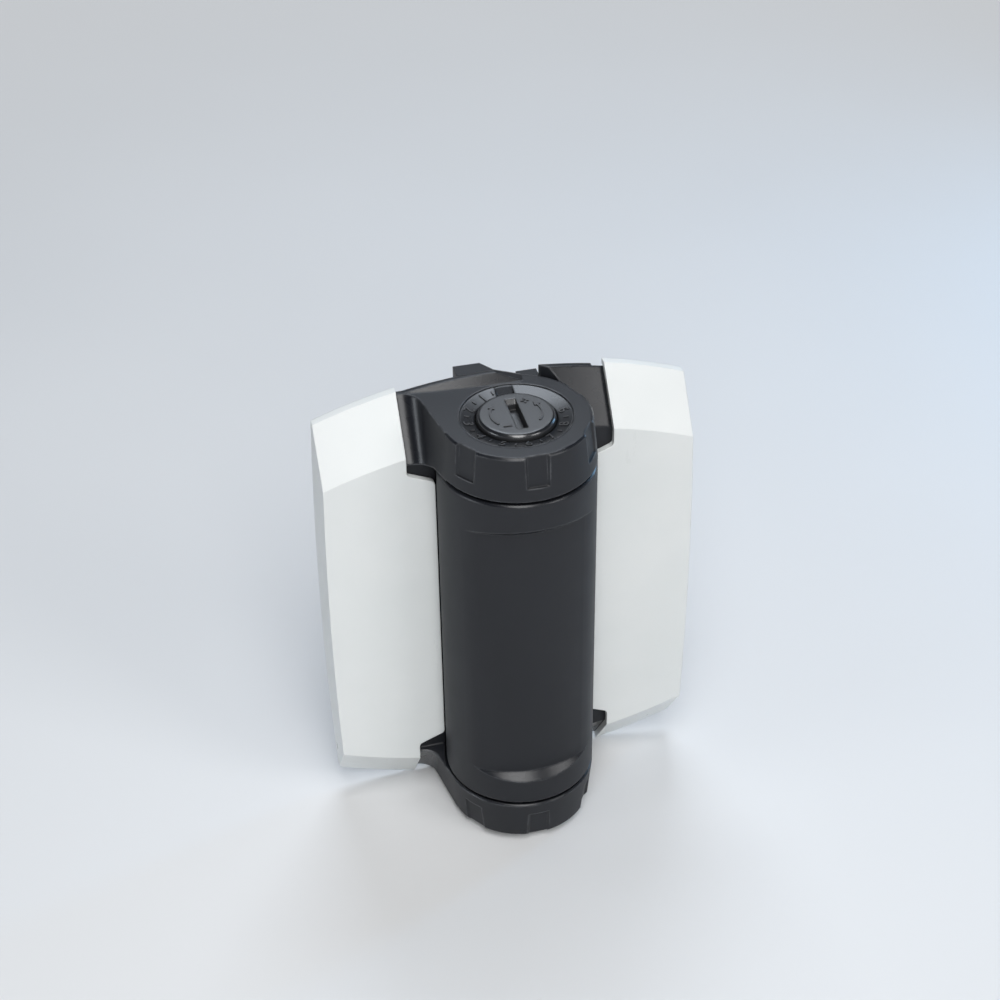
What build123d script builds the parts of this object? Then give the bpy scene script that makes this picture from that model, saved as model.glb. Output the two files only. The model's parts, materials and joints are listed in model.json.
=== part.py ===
"""Self-closing gate hinge with two covered leaves and an adjustable torsion spring.

The origin is on the mounting plane, straight behind the pivot axis, at mid-height.
+X runs to the post leaf, +Y runs back into the gate and post, and +Z is up.
Every piece is a solid of its own, in millimetres, with the gate shut.
"""

import os
from math import cos, pi, radians, sin, sqrt, tan

from build123d import *

os.makedirs("parts", exist_ok=True)

# Pivot axis and barrel
pivot_offset = 16.0
barrel_radius = 18.0
barrel_half = 44.4
barrel_edge_radius = 1.1
bore_radius = 12.0

# How far a cutting shape runs past what it cuts
overrun = 1.0

# Shallow waist across the front of the barrel
waist_half = 35.3
waist_depth = 2.0
waist_half_angle = 50.0
waist_blend_radius = 9.0

# Knuckle rings of the gate leaf, each with shallow grip flats
knuckle_inner = 44.9
knuckle_end = 56.0
knuckle_end_radius = 17.0
knuckle_clearance = 0.45
ring_low_edge = 0.4
ring_high_edge = 0.5
grip_angles = (215.5, 271.5, 327.5, 23.5)
grip_width = 4.4
grip_flare = 1.1
grip_floor_low = 17.1
grip_floor_high = 16.0
grip_height = 7.6

# Outline that both leaves and both covers share
outline_radius = 120.0
side_radius = 1150.0
side_draft = 0.6
cover_half_width = 44.25
cover_front = 11.0
cover_lip = 2.0
cover_apex = 59.6
cover_front_apex = 47.4
cover_wall = 1.5

# Edge of each cover beside the barrel
cover_inner_x = 17.65
cover_notch_x = 24.0
cover_notch_low = 37.7
cover_notch_high = 40.4
cover_corner = 1.2

# Leaf mouldings under the covers
plate_thickness = 4.0
block_inner_z = 37.0
web_outer_x = 21.0
screw_columns = 12.0
screw_rows = 60.0
screw_centre_x = 29.5
screw_hole_radius = 2.75
screw_head_radius = 5.2
rib_thickness = 2.0
rib_spacing = 28.0
gate_plate_inner = 9.0

# Arm from the gate leaf to each knuckle
arm_root_x = 23.9
arm_low = 42.6
arm_low_front = 11.0
arm_low_ring = 18.2
arm_low_lean = 18.0
arm_low_fillet = 3.9
arm_high_front = 1.3
arm_high_lean = 9.5
arm_high_fillet = 4.8
arm_slope_front = 15.5
ridge_top_x = 1.0
ridge_end_x = 5.0

# Aligning legs that reach into the gap between gate and post
gap_half = 9.6
gate_leg_depth = 4.4
gate_leg_inner = 3.4
gate_leg_root = 0.4
gate_leg_top = 57.6
post_leg_depth = 3.6
post_leg_inner = 4.8
post_leg_top = 54.5
lip_step_x = 21.4
lip_step_z = 54.9
lip_step_depth = 1.0
lip_step_drop = 3.0

# Sleeve, pin and bearings
journal_radius = 11.0
running_clearance = 0.06
bush_radius = 12.6
bush_length = 10.0
washer_thickness = 0.42
washer_inner = 11.3
washer_outer = 16.2
sleeve_bore = 9.1
sleeve_low = 34.0
flange_radius = 12.6
flange_low = 54.2
flange_high = 55.9
scale_dish = 0.9
scale_notch_width = 4.0
scale_notch_low = 54.4
pin_top = 34.3
pin_bore = 8.6
pin_floor = 3.0
spigot_radius = 5.0
spigot_height = 2.0

# Tension dial and the spindle under it
dial_radius = 8.8
dial_top = 56.4
dial_low = 52.4
dial_edge = 1.0
dial_boss_radius = 5.2
dial_boss_low = 50.0
seal_height = 53.6
seal_wire = 1.0
seal_radius = 8.5
slot_length = 12.0
slot_width = 2.4
slot_depth = 2.4
slot_ramp = 1.0
spindle_radius = 4.4
spindle_top = 53.2
spindle_shoulder = 40.0
spindle_hex = 3.5
spindle_low = 18.0
clip_low = 35.4
clip_thickness = 1.0
clip_groove = 3.2
clip_radius = 5.8

# Dog teeth that hold the dial at its setting
dog_count = 12
dog_height = 1.6
dog_middle = 6.95
dog_length = 2.9
dog_width = 1.1
lock_ring_low = 41.8
lock_ring_high = 43.4
collar_low = 36.4
collar_high = 38.4
collar_radius = 8.5

# Spring hub and anchor
hub_radius = 11.4
hub_low = 28.0
hub_high = 33.0
hub_recess_radius = 8.9
hub_recess_low = 31.0
hub_boss_radius = 6.8
hub_boss_low = 16.0
hub_washer_inner = 9.2
hub_washer_outer = 11.2
hub_washer_thickness = 0.9
socket_clearance = 0.03
anchor_low = -33.9
anchor_high = -28.5
anchor_key_radius = 13.6
anchor_key_width = 6.0
lug_length = 4.0
lug_inner = 7.7
lug_outer = 10.8
lug_height = 2.6

# Springs
torsion_radius = 9.2
torsion_wire = 3.0
torsion_turns = 13
return_radius = 6.2
return_wire = 1.0
return_turns = 3
torsion_flats = 8
small_flats = 6
steps_per_turn = 4

axis_point = (0, -pivot_offset)
turning_plane = Plane((0, -pivot_offset, 0), x_dir=(1, 0, 0), z_dir=(0, -1, 0))
pivot_axis = Axis((0, -pivot_offset, 0), (0, 0, 1))


# Shared forms
def arc_height(x, apex):
    """Height of the shared curved outline at distance x from the pivot axis."""
    return apex - outline_radius + sqrt(outline_radius**2 - x**2)


def outline_sketch(depth, inner_x, outer_x, apex):
    """Leaf outline, with arcs for its ends and its outer side, at a depth in front of the back."""
    inner_z = arc_height(inner_x, apex)
    side_drop = side_radius - sqrt(side_radius**2 - arc_height(outer_x, apex) ** 2)
    corner_x = outer_x - side_drop
    corner_z = arc_height(corner_x, apex)
    middle_x = (inner_x + corner_x) / 2
    middle_z = arc_height(middle_x, apex)
    with BuildSketch(Plane.XZ.offset(depth)) as outline:
        with BuildLine():
            ThreePointArc((inner_x, inner_z), (middle_x, middle_z), (corner_x, corner_z))
            ThreePointArc((corner_x, corner_z), (outer_x, 0), (corner_x, -corner_z))
            ThreePointArc((corner_x, -corner_z), (middle_x, -middle_z), (inner_x, -inner_z))
            Line((inner_x, -inner_z), (inner_x, inner_z))
        make_face()
    return outline.sketch


def leaf_envelope(inner_x, outer_x, lip, front, lip_apex, front_apex):
    """Block with a flat front, sloped ends, a drafted side and a narrow lip at its back."""
    back_face = outline_sketch(0, inner_x, outer_x, lip_apex)
    lip_face = outline_sketch(lip, inner_x, outer_x, lip_apex)
    front_face = outline_sketch(front, inner_x, outer_x - side_draft, front_apex)
    with BuildPart() as block:
        add(back_face)
        extrude(amount=lip, dir=(0, -1, 0))
        loft(sections=[lip_face, front_face], ruled=True)
    return block.part


def disc(radius, low, high, bore=0.0):
    """Disc or ring about the pivot axis between two heights."""
    with BuildPart() as piece:
        with BuildSketch(Plane.XY.offset(low)):
            with Locations(axis_point):
                Circle(radius)
                if bore:
                    Circle(bore, mode=Mode.SUBTRACT)
        extrude(amount=high - low)
    return piece.part


def turned(points):
    """Solid turned about the pivot axis from pairs of radius and height."""
    with BuildPart() as piece:
        with BuildSketch(turning_plane):
            Polygon(*points, align=None)
        revolve(axis=pivot_axis)
    return piece.part


def hexagon(apothem, low, high):
    """Hexagonal bar on the pivot axis between two heights."""
    with BuildPart() as piece:
        with BuildSketch(Plane.XY.offset(low)):
            with Locations(axis_point):
                RegularPolygon(apothem, 6, major_radius=False)
        extrude(amount=high - low)
    return piece.part


def both_ends(solid):
    """The solid together with its image below mid-height."""
    with BuildPart() as pair:
        add(solid)
        mirror(about=Plane.XY)
    return pair.part


def leaf_pocket(inner_x):
    """Hollow in front of a leaf's plate, with two ribs left standing across it."""
    width = moulding_half_width + overrun - inner_x
    with BuildPart() as pocket:
        with BuildSketch(Plane.XZ.offset(plate_thickness)):
            with Locations((inner_x + width / 2, 0)):
                Rectangle(width, 2 * block_inner_z)
                with GridLocations(0, rib_spacing, 1, 2):
                    Rectangle(width, rib_thickness, mode=Mode.SUBTRACT)
        extrude(amount=moulding_front)
    return pocket.part


def finish(piece, name):
    """Label a finished piece and write its file."""
    piece.part.label = name
    export_step(piece.part, f"parts/{name}.step")


# The mouldings' outline is the covers', set in by the thickness of a cover's wall
slope_run = cover_front - cover_lip
slope_rise = cover_apex - cover_front_apex
slope_shift = cover_wall * sqrt(slope_run**2 + slope_rise**2) / slope_run
moulding_half_width = cover_half_width - cover_wall
moulding_front = cover_front - cover_wall
moulding_apex = cover_apex - cover_wall
moulding_front_apex = cover_front_apex + cover_wall * slope_rise / slope_run - slope_shift
moulding_lip = cover_lip - (slope_shift - cover_wall) * slope_run / slope_rise
moulding_sizes = (moulding_lip, moulding_front, moulding_apex, moulding_front_apex)


# Covers
cover_outside = leaf_envelope(
    cover_inner_x, cover_half_width, cover_lip, cover_front, cover_apex, cover_front_apex
)
cover_inside = leaf_envelope(0, moulding_half_width, *moulding_sizes)
notch_slope = (cover_notch_high - cover_notch_low) / (cover_notch_x - cover_inner_x)

with BuildPart() as cover_notch:
    with BuildSketch(Plane.XZ.offset(-overrun)):
        Polygon(
            (cover_inner_x - overrun, cover_notch_low - overrun * notch_slope),
            (cover_notch_x, cover_notch_high),
            (cover_notch_x, cover_apex + overrun),
            (cover_inner_x - overrun, cover_apex + overrun),
            align=None,
        )
    extrude(amount=cover_front + 2 * overrun)

with BuildPart() as post_leaf_cover:
    add(cover_outside)
    add(cover_inside, mode=Mode.SUBTRACT)
    add(both_ends(cover_notch.part), mode=Mode.SUBTRACT)
    cross_edges = post_leaf_cover.edges().filter_by(Axis.Y)
    inner_edges = cross_edges.filter_by_position(Axis.X, 0, cover_notch_x + overrun)
    corner_reach = cover_notch_high + overrun
    corners = inner_edges.filter_by_position(Axis.Z, -corner_reach, corner_reach)
    fillet(corners, radius=cover_corner)
finish(post_leaf_cover, "post_leaf_cover")

with BuildPart() as gate_leaf_cover:
    add(post_leaf_cover.part.mirror(Plane.YZ))
finish(gate_leaf_cover, "gate_leaf_cover")


# Barrel form: turned, then waisted across the front and cut flush at the back
chord_x = barrel_radius * sin(radians(waist_half_angle))
waist_sagitta = barrel_radius * (1 - cos(radians(waist_half_angle))) - waist_depth
waist_radius = (chord_x**2 + waist_sagitta**2) / (2 * waist_sagitta)
waist_centre_y = waist_radius + waist_depth - barrel_radius - pivot_offset
waist_flare = barrel_half - waist_half + overrun
waist_end = waist_half + waist_flare

with BuildPart() as waist_form:
    with BuildSketch(Plane((0, waist_centre_y, 0), x_dir=(1, 0, 0), z_dir=(0, -1, 0))):
        Polygon(
            (0, -waist_end),
            (waist_radius + waist_flare, -waist_end),
            (waist_radius, -waist_half),
            (waist_radius, waist_half),
            (waist_radius + waist_flare, waist_end),
            (0, waist_end),
            align=None,
        )
    revolve(axis=Axis((0, waist_centre_y, 0), (0, 0, 1)))

with BuildPart() as barrel_form:
    add(disc(barrel_radius, -barrel_half, barrel_half))
    fillet(barrel_form.faces().filter_by(Axis.Z).edges(), radius=barrel_edge_radius)
    add(waist_form.part, mode=Mode.INTERSECT)
    upright_edges = barrel_form.edges().filter_by(Axis.Z)
    waist_creases = upright_edges.filter_by_position(
        Axis.Y, -pivot_offset - barrel_radius, -pivot_offset - overrun
    )
    fillet(waist_creases, radius=waist_blend_radius)
    split(bisect_by=Plane.XZ, keep=Keep.TOP)

with BuildPart() as anchor_keys:
    with BuildSketch(Plane.XY.offset(anchor_low)):
        with Locations(axis_point):
            Rectangle(2 * anchor_key_radius, anchor_key_width)
    extrude(amount=anchor_high - anchor_low)


# Post leaf: the moulding that carries the barrel
with BuildPart() as lip_step:
    with BuildSketch(Plane.XZ.offset(-overrun)):
        Polygon(
            (lip_step_x, lip_step_z),
            (cover_half_width, lip_step_z - lip_step_drop),
            (cover_half_width, cover_apex),
            (lip_step_x, cover_apex),
            align=None,
        )
    extrude(amount=overrun + lip_step_depth)

sweep_radius = barrel_radius + knuckle_clearance
with BuildPart() as post_leaf:
    add(leaf_envelope(post_leg_inner, moulding_half_width, *moulding_sizes))
    add(leaf_pocket(web_outer_x), mode=Mode.SUBTRACT)
    with BuildSketch(Plane.XZ):
        with Locations(((post_leg_inner + gap_half) / 2, 0)):
            Rectangle(gap_half - post_leg_inner, 2 * post_leg_top)
    extrude(amount=-post_leg_depth)
    add(both_ends(lip_step.part), mode=Mode.SUBTRACT)
    add(both_ends(disc(sweep_radius, barrel_half, cover_apex)), mode=Mode.SUBTRACT)
    add(barrel_form.part)
    add(disc(bore_radius, -barrel_half, barrel_half), mode=Mode.SUBTRACT)
    add(both_ends(disc(bush_radius, barrel_half - bush_length, barrel_half)), mode=Mode.SUBTRACT)
    add(anchor_keys.part, mode=Mode.SUBTRACT)
    with Locations(Plane.XZ.offset(plate_thickness)):
        with Locations((screw_centre_x, 0)):
            with GridLocations(screw_columns, screw_rows, 2, 2):
                CounterSinkHole(screw_hole_radius, screw_head_radius, depth=2 * plate_thickness)
finish(post_leaf, "post_leaf")


# Gate leaf: plate, arms and two knuckle rings that hold the barrel between them
def arm_outline(height, front, ring, lean, fillet_radius):
    """Plan of the arm at one height: along the leaf, round a fillet, then tangent to the ring."""
    touch_x = -ring * cos(radians(lean))
    touch_y = -pivot_offset - ring * sin(radians(lean))
    corner_x = touch_x + (touch_y + front) * tan(radians(lean))
    with BuildSketch(Plane.XY.offset(height)) as outline:
        Polygon(
            (0, 0),
            (-arm_root_x, 0),
            (-arm_root_x, -front),
            (corner_x, -front),
            (touch_x, touch_y),
            (0, touch_y),
            align=None,
        )
        corner = outline.vertices().sort_by_distance((corner_x, -front, 0))[0]
        fillet(corner, radius=fillet_radius)
    return outline.sketch


arm_foot = arm_outline(arm_low, arm_low_front, arm_low_ring, arm_low_lean, arm_low_fillet)
arm_head = arm_outline(
    knuckle_end, arm_high_front, knuckle_end_radius, arm_high_lean, arm_high_fillet
)

with BuildPart() as arm:
    loft(sections=[arm_foot, arm_head], ruled=True)
    with BuildSketch(Plane.YZ):
        Polygon(
            (0, arm_low),
            (-moulding_front, arm_low),
            (-arm_slope_front, knuckle_inner),
            (-pivot_offset - barrel_radius, knuckle_inner),
            (-pivot_offset - barrel_radius, knuckle_end),
            (0, knuckle_end),
            align=None,
        )
    extrude(amount=-arm_root_x, mode=Mode.INTERSECT)


def grip_outline(height, floor, angle):
    """Plan of a grip flat at one height, as wide as its floor and flared out past the ring."""
    reach = barrel_radius + overrun
    flare = grip_flare * (reach - floor)
    with BuildSketch(Plane.XY.offset(height)) as outline:
        with Locations(Location((0, -pivot_offset, 0), (0, 0, angle))):
            Polygon(
                (floor, -grip_width / 2),
                (reach, -grip_width / 2 - flare),
                (reach, grip_width / 2 + flare),
                (floor, grip_width / 2),
                align=None,
            )
    return outline.sketch


with BuildPart() as grips:
    for angle in grip_angles:
        grip_foot = grip_outline(knuckle_end - grip_height, grip_floor_low, angle)
        grip_head = grip_outline(knuckle_end + overrun, grip_floor_high, angle)
        loft(sections=[grip_foot, grip_head], ruled=True)

with BuildPart() as ridge_end:
    with BuildSketch(Plane.XZ.offset(-overrun)):
        Polygon(
            (-ridge_top_x, moulding_apex),
            (ridge_end_x, knuckle_end),
            (ridge_end_x, cover_apex),
            (-ridge_top_x, cover_apex),
            align=None,
        )
    extrude(amount=moulding_front + 2 * overrun)

with BuildPart() as gate_knuckle:
    add(turned([
        (0, knuckle_inner),
        (barrel_radius - ring_low_edge, knuckle_inner),
        (barrel_radius, knuckle_inner + ring_low_edge),
        (knuckle_end_radius, knuckle_end - ring_high_edge),
        (knuckle_end_radius - ring_high_edge, knuckle_end),
        (0, knuckle_end),
    ]))
    add(arm.part)
    with BuildSketch(Plane.XY.offset(knuckle_inner)):
        Polygon(
            (-gap_half, -overrun),
            (-gap_half, gate_leg_depth),
            (-gate_leg_inner, gate_leg_depth),
            (-gate_leg_root, 0),
            (-gate_leg_root, -overrun),
            align=None,
        )
    extrude(amount=gate_leg_top - knuckle_inner)
    add(grips.part, mode=Mode.SUBTRACT)

with BuildPart() as gate_leaf:
    add(leaf_envelope(-ridge_end_x, moulding_half_width, *moulding_sizes).mirror(Plane.YZ))
    add(leaf_pocket(0).mirror(Plane.YZ), mode=Mode.SUBTRACT)
    with BuildSketch(Plane.XZ):
        Rectangle(2 * gate_plate_inner, 2 * knuckle_inner)
    extrude(amount=moulding_front, mode=Mode.SUBTRACT)
    add(both_ends(ridge_end.part), mode=Mode.SUBTRACT)
    add(both_ends(gate_knuckle.part))
    add(disc(sweep_radius, -knuckle_inner, knuckle_inner), mode=Mode.SUBTRACT)
    add(both_ends(disc(journal_radius, knuckle_inner, knuckle_end)), mode=Mode.SUBTRACT)
    add(both_ends(disc(flange_radius, flange_low, cover_apex)), mode=Mode.SUBTRACT)
    with Locations(Plane.XZ.offset(plate_thickness)):
        with Locations((-screw_centre_x, 0)):
            with GridLocations(screw_columns, screw_rows, 2, 2):
                CounterSinkHole(screw_hole_radius, screw_head_radius, depth=2 * plate_thickness)
finish(gate_leaf, "gate_leaf")


# Pivot sleeve, pin and what closes them
with BuildPart() as upper_pivot_sleeve:
    add(disc(journal_radius, sleeve_low, flange_low, sleeve_bore))
finish(upper_pivot_sleeve, "upper_pivot_sleeve")

scale_inner_y = sleeve_bore - pivot_offset
scale_outer_y = flange_radius - pivot_offset
with BuildPart() as tension_scale_ring:
    add(turned([
        (sleeve_bore, flange_low),
        (flange_radius, flange_low),
        (flange_radius, flange_high),
        (sleeve_bore, flange_high - scale_dish),
    ]))
    with BuildSketch(Plane.YZ):
        Polygon(
            (scale_inner_y - overrun, scale_notch_low),
            (scale_inner_y, scale_notch_low),
            (scale_outer_y, flange_high),
            (scale_inner_y - overrun, flange_high),
            align=None,
        )
    extrude(amount=scale_notch_width / 2, both=True, mode=Mode.SUBTRACT)
finish(tension_scale_ring, "tension_scale_ring")

with BuildPart() as lower_pivot_pin:
    add(disc(journal_radius, -flange_low, -pin_top))
    add(disc(pin_bore, -flange_low + pin_floor, -pin_top), mode=Mode.SUBTRACT)
    add(disc(spigot_radius, -flange_low, -flange_low + spigot_height), mode=Mode.SUBTRACT)
finish(lower_pivot_pin, "lower_pivot_pin")

with BuildPart() as lower_end_cap:
    add(disc(flange_radius, -flange_high, -flange_low))
    add(disc(spigot_radius, -flange_low, -flange_low + spigot_height))
finish(lower_end_cap, "lower_end_cap")


# Bearings in the barrel and thrust washers on its ends
bush_bore = journal_radius + running_clearance
with BuildPart() as upper_bush:
    add(disc(bush_radius, barrel_half - bush_length, barrel_half, bush_bore))
finish(upper_bush, "upper_bush")

with BuildPart() as lower_bush:
    add(upper_bush.part.mirror(Plane.XY))
finish(lower_bush, "lower_bush")

with BuildPart() as upper_thrust_washer:
    add(disc(washer_outer, barrel_half, barrel_half + washer_thickness, washer_inner))
finish(upper_thrust_washer, "upper_thrust_washer")

with BuildPart() as lower_thrust_washer:
    add(upper_thrust_washer.part.mirror(Plane.XY))
finish(lower_thrust_washer, "lower_thrust_washer")


# Tension dial, its seal and the hexagonal spindle
with BuildPart() as tension_dial:
    with BuildSketch(turning_plane):
        with BuildLine():
            Polyline(
                (0, dial_boss_low),
                (dial_boss_radius, dial_boss_low),
                (dial_boss_radius, dial_low),
                (dial_radius, dial_low),
                (dial_radius, seal_height - seal_wire / 2),
                (seal_radius - seal_wire / 2, seal_height - seal_wire / 2),
                (seal_radius - seal_wire / 2, seal_height + seal_wire / 2),
                (dial_radius, seal_height + seal_wire / 2),
                (dial_radius, dial_top - dial_edge),
            )
            RadiusArc(
                (dial_radius, dial_top - dial_edge), (dial_radius - dial_edge, dial_top), -dial_edge
            )
            Polyline((dial_radius - dial_edge, dial_top), (0, dial_top), (0, dial_boss_low))
        make_face()
    revolve(axis=pivot_axis)
    with BuildSketch(Plane.YZ):
        Polygon(
            (-pivot_offset - slot_length / 2, dial_top),
            (-pivot_offset - slot_length / 2, dial_top - slot_depth),
            (-pivot_offset + slot_length / 2 - slot_ramp, dial_top - slot_depth),
            (-pivot_offset + slot_length / 2 - slot_ramp, dial_top - slot_ramp),
            (-pivot_offset + slot_length / 2, dial_top),
            align=None,
        )
    extrude(amount=slot_width / 2, both=True, mode=Mode.SUBTRACT)
    add(hexagon(spindle_hex, dial_boss_low, spindle_top), mode=Mode.SUBTRACT)
finish(tension_dial, "tension_dial")

with BuildPart() as dial_seal:
    with BuildSketch(turning_plane):
        with Locations((seal_radius, seal_height)):
            RegularPolygon(seal_wire / 2, small_flats)
    revolve(axis=pivot_axis)
finish(dial_seal, "dial_seal")

with BuildPart() as dial_spindle:
    add(hexagon(spindle_hex, spindle_low, spindle_shoulder))
    add(disc(spindle_radius, spindle_shoulder, dial_boss_low))
    add(hexagon(spindle_hex, dial_boss_low, spindle_top))
    add(
        disc(collar_radius, clip_low, clip_low + clip_thickness, clip_groove),
        mode=Mode.SUBTRACT,
    )
finish(dial_spindle, "dial_spindle")

with BuildPart() as spindle_clip:
    add(disc(clip_radius, clip_low, clip_low + clip_thickness, clip_groove))
    with BuildSketch(Plane.XY.offset(clip_low)):
        with Locations((0, -pivot_offset - clip_radius)):
            Rectangle(2 * clip_groove, 2 * clip_radius)
    extrude(amount=clip_thickness, mode=Mode.SUBTRACT)
finish(spindle_clip, "spindle_clip")


# Lock ring in the sleeve and lock collar on the spindle, with facing dog teeth
def dog_teeth(low, turn):
    """Ring of radial dog teeth that starts turned by the given angle."""
    with BuildPart() as teeth:
        with BuildSketch(Plane.XY.offset(low)):
            with Locations(axis_point):
                with PolarLocations(dog_middle, dog_count, start_angle=turn):
                    Rectangle(dog_length, dog_width)
        extrude(amount=dog_height)
    return teeth.part


stem_bore = spindle_radius + running_clearance
with BuildPart() as lock_ring:
    add(disc(sleeve_bore, lock_ring_low, lock_ring_high, stem_bore))
    add(dog_teeth(lock_ring_low - dog_height, 0))
finish(lock_ring, "lock_ring")

with BuildPart() as lock_collar:
    add(disc(collar_radius, collar_low, collar_high))
    add(dog_teeth(collar_high, 180 / dog_count))
    add(hexagon(spindle_hex, collar_low, collar_high), mode=Mode.SUBTRACT)
finish(lock_collar, "lock_collar")


# Spring hub, which the spindle turns, and the anchor in the barrel
def spring_lug(low, side):
    """Lug that stops one end of the spring, behind (-1) or in front (+1) of it along Y."""
    middle_y = -pivot_offset + side * (torsion_wire + lug_length / 2)
    with BuildPart() as lug:
        with BuildSketch(Plane.XY.offset(low)):
            with Locations(((lug_inner + lug_outer) / 2, middle_y)):
                Rectangle(lug_outer - lug_inner, lug_length)
            with Locations(axis_point):
                Circle(hub_radius, mode=Mode.INTERSECT)
        extrude(amount=lug_height)
    return lug.part


with BuildPart() as spring_hub:
    add(disc(hub_boss_radius, hub_boss_low, hub_low))
    add(disc(hub_radius, hub_low, hub_high))
    add(disc(hub_recess_radius, hub_recess_low, hub_high), mode=Mode.SUBTRACT)
    add(spring_lug(hub_low - lug_height, -1))
    add(hexagon(spindle_hex + socket_clearance, hub_boss_low, hub_high), mode=Mode.SUBTRACT)
finish(spring_hub, "spring_hub")

with BuildPart() as hub_washer:
    add(disc(hub_washer_outer, hub_high, hub_high + hub_washer_thickness, hub_washer_inner))
finish(hub_washer, "hub_washer")

with BuildPart() as spring_anchor:
    add(disc(bore_radius, anchor_low, anchor_high))
    add(anchor_keys.part)
    add(spring_lug(anchor_high, 1))
    add(disc(hub_boss_radius, anchor_low, anchor_high), mode=Mode.SUBTRACT)
finish(spring_anchor, "spring_anchor")


# Springs: each an unbroken tube along pairs of tangent arcs
def coil(radius, wire, flats, turns, low, high):
    """Left-hand coil of wire with narrow flats, eased level towards both ends."""
    full_angle = 2 * pi * turns
    ease = pi / 2
    climb = (high - low - wire) / (full_angle - ease)

    def rise(angle):
        if angle < ease:
            return angle**2 / (2 * ease)
        if angle > full_angle - ease:
            return full_angle - ease - (full_angle - angle) ** 2 / (2 * ease)
        return angle - ease / 2

    def point(angle):
        height = low + wire / 2 + climb * rise(angle)
        return Vector(radius * cos(angle), -pivot_offset - radius * sin(angle), height)

    def heading(angle):
        slope = climb * min(1, angle / ease, (full_angle - angle) / ease)
        return Vector(-radius * sin(angle), -radius * cos(angle), slope).normalized()

    def arc_middle(begin, tangent, end):
        chord = end - begin
        across = (tangent - chord * (tangent.dot(chord) / chord.dot(chord))).normalized()
        turn = radians(tangent.get_angle(chord))
        return begin + chord / 2 + across * (chord.length / 2 * tan(turn / 2))

    steps = turns * steps_per_turn
    angles = [full_angle * step / steps for step in range(steps + 1)]
    with BuildLine() as path:
        Line(point(0) - heading(0) * wire, point(0))
        for here, there in zip(angles, angles[1:]):
            begin = point(here)
            end = point(there)
            leave = heading(here)
            arrive = heading(there)
            gap = end - begin
            both = leave + arrive
            quadratic = 4 - both.dot(both)
            linear = gap.dot(both)
            reach = (sqrt(linear**2 + quadratic * gap.dot(gap)) - linear) / quadratic
            first_control = begin + leave * reach
            last_control = end - arrive * reach
            joint = (first_control + last_control) / 2
            ThreePointArc(begin, arc_middle(begin, leave, joint), joint)
            ThreePointArc(joint, arc_middle(joint, last_control - first_control, end), end)
        Line(point(full_angle), point(full_angle) + heading(full_angle) * wire)
    with BuildPart() as tube:
        with BuildSketch(Plane(path.line @ 0, z_dir=path.line % 0)):
            RegularPolygon(wire / 2, flats)
        sweep(path=path.line)

    per_turn = 72
    samples = [point(full_angle * i / (turns * per_turn)) for i in range(turns * per_turn + 1)]
    least = min(
        (samples[later] - samples[earlier]).length
        for earlier in range(len(samples) - per_turn // 2)
        for later in range(earlier + per_turn // 2, min(earlier + 2 * per_turn, len(samples)))
    )
    print(f"coil of {turns} turns: least gap to itself {least - wire:.2f} mm")
    return tube.part


with BuildPart() as torsion_spring:
    add(coil(torsion_radius, torsion_wire, torsion_flats, torsion_turns, anchor_high, hub_low))
finish(torsion_spring, "torsion_spring")

with BuildPart() as dial_return_spring:
    add(coil(return_radius, return_wire, small_flats, return_turns, lock_ring_high, dial_low))
finish(dial_return_spring, "dial_return_spring")
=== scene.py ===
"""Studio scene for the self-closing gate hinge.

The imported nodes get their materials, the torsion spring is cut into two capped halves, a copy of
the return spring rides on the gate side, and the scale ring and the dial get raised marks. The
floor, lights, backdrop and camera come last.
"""

import json
from math import cos, degrees, hypot, radians, sin

import bmesh
import bpy
from mathutils import Matrix, Vector


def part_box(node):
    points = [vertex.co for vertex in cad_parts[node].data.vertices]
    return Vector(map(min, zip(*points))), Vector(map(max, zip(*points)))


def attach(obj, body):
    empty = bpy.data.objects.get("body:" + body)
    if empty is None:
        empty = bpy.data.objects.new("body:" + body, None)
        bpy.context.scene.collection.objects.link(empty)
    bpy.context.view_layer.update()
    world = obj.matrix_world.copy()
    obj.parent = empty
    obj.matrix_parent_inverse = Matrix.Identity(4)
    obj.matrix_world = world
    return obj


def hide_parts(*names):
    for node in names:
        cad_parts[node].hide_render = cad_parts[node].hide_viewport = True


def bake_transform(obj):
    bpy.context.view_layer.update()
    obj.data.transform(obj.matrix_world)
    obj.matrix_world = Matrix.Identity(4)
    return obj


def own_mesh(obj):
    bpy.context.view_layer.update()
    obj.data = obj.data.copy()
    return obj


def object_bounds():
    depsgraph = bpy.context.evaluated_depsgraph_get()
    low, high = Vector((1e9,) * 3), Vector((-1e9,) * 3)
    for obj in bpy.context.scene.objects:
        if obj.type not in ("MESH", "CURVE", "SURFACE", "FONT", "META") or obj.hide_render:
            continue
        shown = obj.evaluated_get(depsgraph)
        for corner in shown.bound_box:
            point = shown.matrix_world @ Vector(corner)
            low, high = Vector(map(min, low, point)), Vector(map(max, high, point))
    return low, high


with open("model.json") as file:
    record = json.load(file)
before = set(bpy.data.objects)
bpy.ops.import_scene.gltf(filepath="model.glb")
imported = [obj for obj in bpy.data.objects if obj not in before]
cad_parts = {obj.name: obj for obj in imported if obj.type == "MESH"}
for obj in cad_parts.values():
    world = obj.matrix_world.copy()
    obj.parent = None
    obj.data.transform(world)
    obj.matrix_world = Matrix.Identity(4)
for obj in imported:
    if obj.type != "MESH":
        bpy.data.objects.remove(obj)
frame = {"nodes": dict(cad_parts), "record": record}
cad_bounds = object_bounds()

nodes = frame["nodes"]
MM = 0.001

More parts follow.
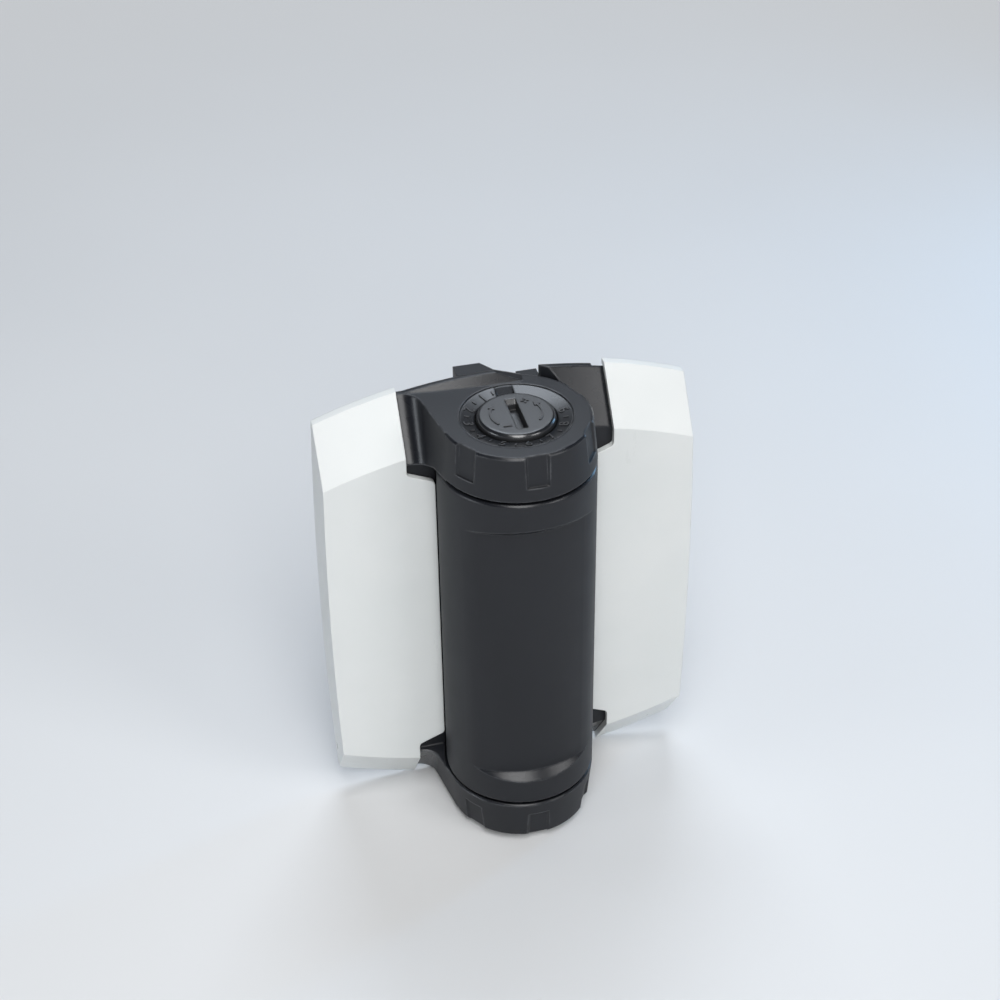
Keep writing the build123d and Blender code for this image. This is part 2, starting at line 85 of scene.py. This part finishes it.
# Places taken from the frame
dial_low, dial_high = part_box("tension_dial")
axis_x = (dial_low.x + dial_high.x) / 2
axis_y = (dial_low.y + dial_high.y) / 2
dial_face_z = dial_high.z
ring_low, ring_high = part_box("tension_scale_ring")
ring_outer = (ring_high.x - ring_low.x) / 2
ring_outer_z = ring_high.z
floor_z = cad_bounds[0].z

# Camera as in the photograph
camera_place = (-88.3 * MM, -369.5 * MM, 297.6 * MM)
camera_heading = 13.42
camera_pitch = 35.98
camera_roll = -0.87
camera_lens = 72.0
camera_sensor = 36.0

# Torsion spring: its extent, the cut at its middle, and the reach within which its vertices are
# welded
torsion_low, torsion_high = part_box("torsion_spring")
torsion_middle = (torsion_low.z + torsion_high.z) / 2
weld_reach = 0.001 * MM

# Raised marks in general
mark_height = 0.22 * MM
mark_sink = 0.10 * MM

# Numerals and ticks on the scale ring, counted from its notch
numeral_height = 2.3 * MM
numeral_share = 0.7
numeral_count = 9
numeral_step = 30.0
tick_length = 1.1 * MM
tick_width = 0.32 * MM
notch_angle = 90.0
edge_reach = 0.01 * MM

# Curved arrows and signs on the dial
arrow_radius = 5.75 * MM
arrow_width = 0.5 * MM
arrow_head = 1.5 * MM
arrow_steps = 14
arrow_spans = ((-42, 22), (215, 150))
sign_radius = 5.3 * MM
sign_angle = 56.0
sign_length = 1.9 * MM
sign_width = 0.46 * MM

# Floor: how far it runs each way, and the distances over which it fades into the backdrop
floor_reach = 2.5
floor_fade = (0.30, 0.90)

# Backdrop: how bright it looks, the heights over which it fades, and the light the world gives
backdrop_colour = (0.96, 0.98, 1.0)
backdrop_level = 0.72
backdrop_fade = (0.12, 0.34)
world_fill = 0.05


# Node helpers
class Graph:
    """A node tree, with short ways to add the nodes that the materials and the world share."""

    def __init__(self, tree):
        self.tree = tree
        self.coordinates = self.add("TexCoord").outputs

    def add(self, kind):
        """New shader node of this kind."""
        return self.tree.nodes.new("ShaderNode" + kind)

    def link(self, source, target):
        """Lead an output socket to an input socket."""
        self.tree.links.new(source, target)

    def noise(self, feature, detail=3.0, stretch=(1, 1, 1), roughness=0.5):
        """Noise whose features are about this many metres across, drawn out by stretch."""
        mapping = self.add("Mapping")
        mapping.inputs["Scale"].default_value = [1 / (feature * s) for s in stretch]
        self.link(self.coordinates["Object"], mapping.inputs["Vector"])
        texture = self.add("TexNoise")
        texture.inputs["Scale"].default_value = 1.0
        texture.inputs["Detail"].default_value = detail
        texture.inputs["Roughness"].default_value = roughness
        self.link(mapping.outputs["Vector"], texture.inputs["Vector"])
        return texture.outputs["Fac"]

    def ramp(self, value, low, high, low_end, high_end, interpolation="LINEAR"):
        """Value mapped from low..high to low_end..high_end, clamped."""
        node = self.add("MapRange")
        node.interpolation_type = interpolation
        ends = {"From Min": low, "From Max": high, "To Min": low_end, "To Max": high_end}
        for end, number in ends.items():
            node.inputs[end].default_value = number
        self.link(value, node.inputs["Value"])
        return node.outputs["Result"]

    def mix(self, factor, first, second):
        """Colour mixed from first to second; each is a colour or a socket."""
        node = self.add("Mix")
        node.data_type = "RGBA"
        self.link(factor, node.inputs["Factor"])
        for socket, colour in (("A", first), ("B", second)):
            target = next(i for i in node.inputs if i.name == socket and i.type == "RGBA")
            if isinstance(colour, tuple):
                target.default_value = (*colour, 1.0)
            else:
                self.link(colour, target)
        return next(o for o in node.outputs if o.type == "RGBA")

    def math(self, operation, *operands):
        """Result of a math node; each operand is a number or a socket."""
        node = self.add("Math")
        node.operation = operation
        for target, operand in zip(node.inputs, operands):
            if isinstance(operand, (int, float)):
                target.default_value = operand
            else:
                self.link(operand, target)
        return node.outputs["Value"]

    def vertical(self, vector):
        """Z part of a vector."""
        parts = self.add("SeparateXYZ")
        self.link(vector, parts.inputs["Vector"])
        return parts.outputs["Z"]

    def seen_rays(self):
        """1 for the rays by which the surroundings are seen or mirrored, and 0 for light."""
        path = self.add("LightPath").outputs
        mirrored = self.math("MAXIMUM", path["Is Glossy Ray"], path["Is Transmission Ray"])
        return self.math("MAXIMUM", path["Is Camera Ray"], mirrored)


class Surface(Graph):
    """A material's node tree, with its shader, softened edges and bump."""

    def __init__(self, name, **constants):
        self.material = bpy.data.materials.new(name)
        self.material.use_nodes = True
        super().__init__(self.material.node_tree)
        self.shader = self.tree.nodes["Principled BSDF"]
        self.normal = None
        for socket, value in constants.items():
            self.shader.inputs[socket.replace("_", " ")].default_value = value

    def soft_edges(self, radius):
        """Round every edge by this radius, and return a mask that is bright along the edges."""
        bevel = self.add("Bevel")
        bevel.samples = 8
        bevel.inputs["Radius"].default_value = radius
        self.normal = bevel.outputs["Normal"]
        dot = self.add("VectorMath")
        dot.operation = "DOT_PRODUCT"
        self.link(self.normal, dot.inputs[0])
        self.link(self.add("NewGeometry").outputs["Normal"], dot.inputs[1])
        return self.ramp(dot.outputs["Value"], 0.995, 0.9, 0.0, 1.0)

    def open_air(self, reach):
        """How open the surface is within this reach: low in a corner, 1 on a flat or outer edge."""
        occlusion = self.add("AmbientOcclusion")
        occlusion.samples = 6
        occlusion.inputs["Distance"].default_value = reach
        return occlusion.outputs["AO"]

    def upward(self):
        """How far the surface faces up or down: 0 on a wall, 1 on a level face."""
        return self.math("ABSOLUTE", self.vertical(self.add("NewGeometry").outputs["Normal"]))

    def bump(self, layers):
        """Bump from pairs of height socket and depth in metres, over the softened edges."""
        for height, depth in layers:
            node = self.add("Bump")
            node.inputs["Strength"].default_value = 1.0
            node.inputs["Distance"].default_value = depth
            self.link(height, node.inputs["Height"])
            if self.normal:
                self.link(self.normal, node.inputs["Normal"])
            self.normal = node.outputs["Normal"]
        self.link(self.normal, self.shader.inputs["Normal"])

    def paint(self, colour, roughness):
        """Lead colour and roughness to the shader, and return the finished material."""
        self.link(colour, self.shader.inputs["Base Color"])
        self.link(roughness, self.shader.inputs["Roughness"])
        return self.material


# Materials
def dark_polymer(name, body, worn_and_highlight, gloss, rounding=0.7 * MM, wall=0.54, slope=0.27, level=0.35):
    """Satin glass-filled polymer with spark-eroded grain, painted shade in its corners, and edges
    painted lighter, partly as rubbed wear and partly as a painted highlight.

    Wall, slope and level are its roughness on upright, sloping and level faces.
    """
    g = Surface(name, IOR=1.46, Specular_IOR_Level=gloss)
    flow = g.noise(14 * MM, detail=4, stretch=(1, 1, 2.5))
    grain = g.noise(0.3 * MM, detail=2)
    haze = g.noise(3.5 * MM, detail=5, roughness=0.6)
    wave = g.noise(6 * MM, detail=1)
    tone = g.mix(g.ramp(flow, 0.3, 0.7, 0.0, 1.0), body, tuple(c * 1.2 for c in body))
    air = g.open_air(0.9 * MM)
    edge = g.math("MULTIPLY", g.soft_edges(rounding), g.ramp(air, 0.75, 0.95, 0.0, 1.0))
    # Edges painted lighter towards the worn colour: partly rubbed wear, partly a painted highlight.
    rub_and_highlight = g.math("MULTIPLY", edge, g.ramp(haze, 0.40, 0.62, 0.15, 0.7))
    # Painted shade: the colour is darkened towards black in corners and creases, where shade falls.
    corner = g.ramp(air, 0.4, 0.9, 0.8, 0.0)
    colour = g.mix(corner, g.mix(rub_and_highlight, tone, worn_and_highlight), (0.001, 0.001, 0.001))
    satin = g.math("ADD", g.ramp(g.upward(), 0.15, 0.45, wall, slope),
                   g.ramp(g.upward(), 0.92, 0.99, 0.0, level - slope))
    rough = g.math("ADD", g.ramp(wave, 0.3, 0.7, -0.012, 0.012), satin)
    g.bump([(grain, 0.0015 * MM), (wave, 0.008 * MM)])
    return g.paint(colour, rough)


def pale_cover():
    """Semi-gloss off-white moulding with faint orange peel, a little handling haze, and edges
    painted lighter, partly as wear and partly as a painted highlight.
    """
    g = Surface("pale_cover", IOR=1.5, Specular_IOR_Level=0.22)
    cloud = g.noise(22 * MM, detail=4)
    grain = g.noise(0.5 * MM, detail=2)
    peel = g.noise(1.6 * MM, detail=2)
    haze = g.noise(5 * MM, detail=5, stretch=(1, 1, 3), roughness=0.65)
    tone = g.mix(g.ramp(cloud, 0.35, 0.65, 0.0, 1.0), (0.70, 0.725, 0.72), (0.73, 0.75, 0.745))
    # Edges painted lighter: partly handling wear, partly a painted highlight.
    rub_and_highlight = g.math("MULTIPLY", g.soft_edges(0.35 * MM), g.ramp(haze, 0.40, 0.65, 0.25, 0.6))
    g.bump([(grain, 0.003 * MM), (peel, 0.008 * MM)])
    return g.paint(g.mix(rub_and_highlight, tone, (0.84, 0.85, 0.85)), g.ramp(haze, 0.3, 0.7, 0.27, 0.34))


def turned_steel():
    """Turned stainless steel with fine rings about the pivot axis."""
    g = Surface("turned_steel", Metallic=1.0)
    rings = g.noise(0.12 * MM, detail=2, stretch=(60, 60, 1))
    stain = g.noise(4 * MM, detail=5)
    tone = g.mix(g.ramp(stain, 0.35, 0.7, 0.0, 1.0), (0.58, 0.575, 0.56), (0.47, 0.465, 0.455))
    colour = g.mix(g.ramp(rings, 0.4, 0.6, 0.0, 0.35), tone, (0.66, 0.66, 0.65))
    g.bump([(rings, 0.01 * MM)])
    return g.paint(colour, g.ramp(rings, 0.35, 0.65, 0.24, 0.38))


def drawn_wire():
    """Drawn stainless spring wire, slightly heat-tinted."""
    g = Surface("drawn_wire", Metallic=1.0)
    streak = g.noise(0.3 * MM, detail=3, stretch=(8, 8, 1))
    tint = g.noise(6 * MM, detail=3)
    tone = g.mix(g.ramp(tint, 0.35, 0.65, 0.0, 1.0), (0.44, 0.425, 0.40), (0.36, 0.335, 0.30))
    colour = g.mix(g.ramp(streak, 0.4, 0.6, 0.0, 0.3), tone, (0.52, 0.51, 0.49))
    g.bump([(streak, 0.01 * MM)])
    return g.paint(colour, g.ramp(streak, 0.35, 0.65, 0.28, 0.42))


def bearing_polymer():
    """Natural acetal, waxy and slightly uneven."""
    g = Surface("bearing_polymer", IOR=1.48, Subsurface_Weight=0.15, Subsurface_Scale=0.5 * MM)
    cloud = g.noise(3 * MM, detail=4)
    swirl = g.noise(0.4 * MM, detail=2, stretch=(10, 10, 1))
    colour = g.mix(g.ramp(cloud, 0.35, 0.65, 0.0, 1.0), (0.60, 0.585, 0.54), (0.68, 0.665, 0.62))
    g.bump([(swirl, 0.008 * MM)])
    return g.paint(colour, g.ramp(swirl, 0.35, 0.65, 0.34, 0.46))


def seal_rubber():
    """Nitrile rubber with a faint bloom."""
    g = Surface("seal_rubber", IOR=1.5, Specular_IOR_Level=0.35)
    bloom = g.noise(1.2 * MM, detail=4)
    colour = g.mix(g.ramp(bloom, 0.4, 0.7, 0.0, 1.0), (0.012, 0.012, 0.013), (0.03, 0.03, 0.03))
    g.bump([(bloom, 0.01 * MM)])
    return g.paint(colour, g.ramp(bloom, 0.3, 0.7, 0.55, 0.7))


def studio_floor():
    """Matt pale floor that keeps the shadow near the hinge and fades into the backdrop far off."""
    g = Surface("studio_floor", Specular_IOR_Level=0.2, Emission_Color=(*backdrop_colour, 1.0))
    cloud = g.noise(180 * MM, detail=3)
    colour = g.mix(g.ramp(cloud, 0.3, 0.7, 0.0, 1.0), (0.70, 0.705, 0.71), (0.72, 0.725, 0.73))
    distance = g.add("VectorMath")
    distance.operation = "LENGTH"
    g.link(g.coordinates["Object"], distance.inputs[0])
    far = g.ramp(distance.outputs["Value"], *floor_fade, 0.0, 1.0)
    glow = g.math("MULTIPLY", g.math("MULTIPLY", far, g.seen_rays()), backdrop_level)
    g.link(glow, g.shader.inputs["Emission Strength"])
    return g.paint(g.mix(far, colour, (0.0, 0.0, 0.0)), g.ramp(cloud, 0.3, 0.7, 0.6, 0.66))


materials = {
    "dark_polymer": dark_polymer(
        "dark_polymer", body=(0.0078, 0.0088, 0.0118), worn_and_highlight=(0.13, 0.135, 0.145), gloss=0.42),
    "scale_polymer": dark_polymer(
        "scale_polymer", body=(0.0096, 0.0106, 0.0130), worn_and_highlight=(0.04, 0.042, 0.046), gloss=0.7,
        level=0.28),
    "dial_polymer": dark_polymer(
        "dial_polymer", body=(0.0096, 0.0106, 0.0130), worn_and_highlight=(0.06, 0.062, 0.067), gloss=1.0,
        rounding=0.5 * MM, slope=0.22, level=0.38),
    "pale_cover": pale_cover(),
    "bearing_polymer": bearing_polymer(),
    "steel": turned_steel(),
    "spring_steel": drawn_wire(),
    "seal_rubber": seal_rubber(),
    # Marks painted lighter than the moulding they rise from, a painted highlight for the light
    # their raised edges catch; their edges are lighter still.
    "mark_polymer": dark_polymer(
        "mark_polymer", body=(0.045, 0.046, 0.050), worn_and_highlight=(0.16, 0.162, 0.168), gloss=0.5,
        rounding=0.12 * MM),
}
slot_of = {part["node"]: part["material_slot"] for part in frame["record"]["subparts"]}


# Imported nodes
def dress(node):
    """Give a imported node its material."""
    piece = nodes[node]
    piece.data.materials.clear()
    piece.data.materials.append(materials[slot_of[node]])


for node in nodes:
    dress(node)


# Springs: the torsion spring cut in two, and a copy of the return spring on the gate side
def copy_of(node, name):
    """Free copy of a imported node, which it stands in for."""
    piece = bpy.data.objects.new(name, nodes[node].data.copy())
    bpy.context.scene.collection.objects.link(piece)
    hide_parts(node)
    return piece


def half_coil(name, side):
    """Lower (-1) or upper (1) half of the torsion spring, cut at its middle and capped."""
    piece = copy_of("torsion_spring", name)
    mesh = bmesh.new()
    mesh.from_mesh(piece.data)
    bmesh.ops.remove_doubles(mesh, verts=mesh.verts, dist=weld_reach)
    whole = mesh.verts[:] + mesh.edges[:] + mesh.faces[:]
    bmesh.ops.bisect_plane(mesh, geom=whole, plane_co=(0, 0, torsion_middle), plane_no=(0, 0, side),
                           clear_inner=True)
    bmesh.ops.holes_fill(mesh, edges=[edge for edge in mesh.edges if edge.is_boundary])
    mesh.to_mesh(piece.data)
    mesh.free()
    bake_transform(piece)


half_coil("torsion_spring_lower", -1)
half_coil("torsion_spring_upper", 1)

return_coil = copy_of("dial_return_spring", "return_spring")
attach(return_coil, "gate_side")
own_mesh(return_coil)


# Raised marks: each is given flat, as (along, up, lift), and set on its surface by a function
def ring_inner_edge():
    """Radius and height of the inner edge of the scale ring's dished face."""
    vertices = nodes["tension_scale_ring"].data.vertices
    reach = [(hypot(v.co.x - axis_x, v.co.y - axis_y), v.co.z) for v in vertices]
    inner = min(radius for radius, _ in reach)
    return inner, max(height for radius, height in reach if radius < inner + edge_reach)


ring_inner, ring_inner_z = ring_inner_edge()
ring_middle = (ring_inner + ring_outer) / 2
ring_slope = (ring_outer_z - ring_inner_z) / (ring_outer - ring_inner)


def on_ring(angle):
    """Place on the dished ring at an angle, with its foot outward, following the ring's curve."""

    def place(along, up, lift):
        radius = ring_middle - up
        turn = radians(angle) + along / ring_middle
        height = ring_inner_z + ring_slope * (radius - ring_inner) + lift
        return (axis_x + radius * cos(turn), axis_y + radius * sin(turn), height)

    return place


def on_dial(along, up, lift):
    """Place on the dial's face, from its centre."""
    return (axis_x + along, axis_y + up, dial_face_z + lift)


def polar(radius, angle):
    """Flat point at a radius and an angle in degrees."""
    return (radius * cos(radians(angle)), radius * sin(radians(angle)))


def raised(outline, place):
    """Vertices and faces of a mark with this outline, given anticlockwise."""
    count = len(outline)
    vertices = [place(u, v, lift) for lift in (-mark_sink, mark_height) for u, v in outline]
    walls = [(i, (i + 1) % count, (i + 1) % count + count, i + count) for i in range(count)]
    return vertices, [tuple(reversed(range(count))), tuple(range(count, 2 * count)), *walls]


def numeral(text, place):
    """Vertices and faces of a numeral, centred on its place."""
    curve = bpy.data.curves.new("numeral", "FONT")
    curve.body = text
    curve.size = numeral_height / numeral_share
    curve.resolution_u = 3
    curve.extrude = (mark_height + mark_sink) / 2
    curve.align_x = "CENTER"
    curve.align_y = "CENTER"
    sample = bpy.data.objects.new("numeral", curve)
    bpy.context.scene.collection.objects.link(sample)
    mesh = bpy.data.meshes.new_from_object(sample)
    middle = (mark_height - mark_sink) / 2
    vertices = [place(v.co.x, v.co.y, v.co.z + middle) for v in mesh.vertices]
    faces = [tuple(polygon.vertices) for polygon in mesh.polygons]
    bpy.data.objects.remove(sample)
    bpy.data.curves.remove(curve)
    bpy.data.meshes.remove(mesh)
    return vertices, faces


def bar(along, up, length, width, turn=0.0):
    """Outline of a bar centred at a point and turned by an angle."""
    corners = [(-length / 2, -width / 2), (length / 2, -width / 2), (length / 2, width / 2),
               (-length / 2, width / 2)]
    c, s = polar(1.0, turn)
    return [(along + x * c - y * s, up + x * s + y * c) for x, y in corners]


def curved_arrow(start, end):
    """Outline of an arrow bent round the dial's centre, from a start angle to an end angle."""
    sense = 1 if end > start else -1
    tip = end + sense * degrees(arrow_head / arrow_radius)
    turns = [start + (end - start) * i / arrow_steps for i in range(arrow_steps + 1)]
    outer = [polar(arrow_radius + arrow_width / 2, a) for a in turns]
    head = [
        polar(arrow_radius + arrow_head / 2, end),
        polar(arrow_radius, tip),
        polar(arrow_radius - arrow_head / 2, end),
    ]
    inner = [polar(arrow_radius - arrow_width / 2, a) for a in reversed(turns)]
    outline = outer + head + inner
    return outline if sense > 0 else outline[::-1]


def add_marks(name, marks, body):
    """One piece from several marks, riding on a body."""
    vertices, faces = [], []
    for corners, polygons in marks:
        faces += [tuple(i + len(vertices) for i in polygon) for polygon in polygons]
        vertices += corners
    mesh = bpy.data.meshes.new(name)
    mesh.from_pydata(vertices, [], faces)
    mesh.materials.append(materials["mark_polymer"])
    piece = bpy.data.objects.new(name, mesh)
    bpy.context.scene.collection.objects.link(piece)
    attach(piece, body)


angles = [notch_angle + numeral_step * (i + 1) for i in range(numeral_count)]
numerals = [numeral(str(i + 1), on_ring(angle)) for i, angle in enumerate(angles)]
tick = bar(0, 0, tick_width, tick_length)
ticks = [raised(tick, on_ring(angle - numeral_step / 2)) for angle in angles]
add_marks("scale_numerals", numerals, "gate_side")
add_marks("scale_ticks", ticks, "gate_side")

arrows = [curved_arrow(*span) for span in arrow_spans]
plus_x, plus_y = polar(sign_radius, sign_angle)
signs = [
    bar(plus_x, plus_y, sign_length, sign_width),
    bar(plus_x, plus_y, sign_length, sign_width, 90),
    bar(-plus_x, -plus_y, sign_length, sign_width),
]
add_marks("dial_arrows", [raised(arrow, on_dial) for arrow in arrows], "dial")
add_marks("dial_signs", [raised(sign, on_dial) for sign in signs], "dial")


# Floor
def make_floor():
    """Large plane that the hinge stands on."""
    mesh = bpy.data.meshes.new("floor")
    corners = [(x * floor_reach, y * floor_reach, floor_z)
               for x, y in ((-1, -1), (1, -1), (1, 1), (-1, 1))]
    mesh.from_pydata(corners, [], [(0, 1, 2, 3)])
    mesh.materials.append(studio_floor())
    floor = bpy.data.objects.new("floor", mesh)
    bpy.context.scene.collection.objects.link(floor)


make_floor()


# Lights
def softbox(name, place, size, power, colour=(1, 1, 1)):
    """Rectangular area light aimed at the middle of the hinge."""
    light = bpy.data.lights.new(name, "AREA")
    light.shape = "RECTANGLE"
    light.size, light.size_y = size
    light.energy = power
    light.color = colour
    lamp = bpy.data.objects.new(name, light)
    lamp.location = place
    lamp.visible_camera = False
    direction = Vector((0, axis_y, 0)) - Vector(place)
    lamp.rotation_euler = direction.to_track_quat("-Z", "Y").to_euler()
    bpy.context.scene.collection.objects.link(lamp)


softbox("front_light", (-0.085, -0.61, 0.735), (0.42, 0.92), 8.2)
softbox("right_light", (0.54, -0.615, 0.505), (0.34, 0.34), 2.0)
softbox("back_light", (0.102, 0.47, 0.75), (0.42, 0.42), 3.6, (0.84, 0.91, 1.0))
softbox("left_light", (-0.76, -0.18, 0.165), (0.30, 0.22), 1.1, (0.88, 0.94, 1.0))
softbox("cool_light", (0.42, 0.16, 0.10), (0.06, 0.26), 0.45, (0.30, 0.62, 1.0))


def make_world():
    """Faint cool fill, with a pale backdrop wherever the world itself is seen."""
    world = bpy.data.worlds.new("studio")
    world.use_nodes = True
    g = Graph(world.node_tree)
    background = g.tree.nodes["Background"]
    background.inputs["Color"].default_value = (*backdrop_colour, 1.0)
    backdrop = g.ramp(g.vertical(g.coordinates["Generated"]), *backdrop_fade,
                      backdrop_level, world_fill, interpolation="SMOOTHSTEP")
    shown = g.math("MULTIPLY", g.seen_rays(), backdrop)
    g.link(g.math("MAXIMUM", shown, world_fill), background.inputs["Strength"])
    bpy.context.scene.world = world


make_world()
bpy.context.scene.view_settings.view_transform = "Standard"


# Camera
def make_camera():
    """Camera at the photograph's place and angle."""
    camera = bpy.data.cameras.new("camera")
    camera.lens = camera_lens
    camera.sensor_width = camera_sensor
    camera.clip_start = 0.01
    eye = bpy.data.objects.new("camera", camera)
    turn = Matrix.Rotation(radians(-camera_heading), 4, "Z")
    tilt = Matrix.Rotation(radians(90 - camera_pitch), 4, "X")
    roll = Matrix.Rotation(radians(camera_roll), 4, "Z")
    eye.matrix_world = Matrix.Translation(camera_place) @ turn @ tilt @ roll
    bpy.context.scene.collection.objects.link(eye)
    bpy.context.scene.camera = eye


make_camera()

bpy.context.view_layer.update()
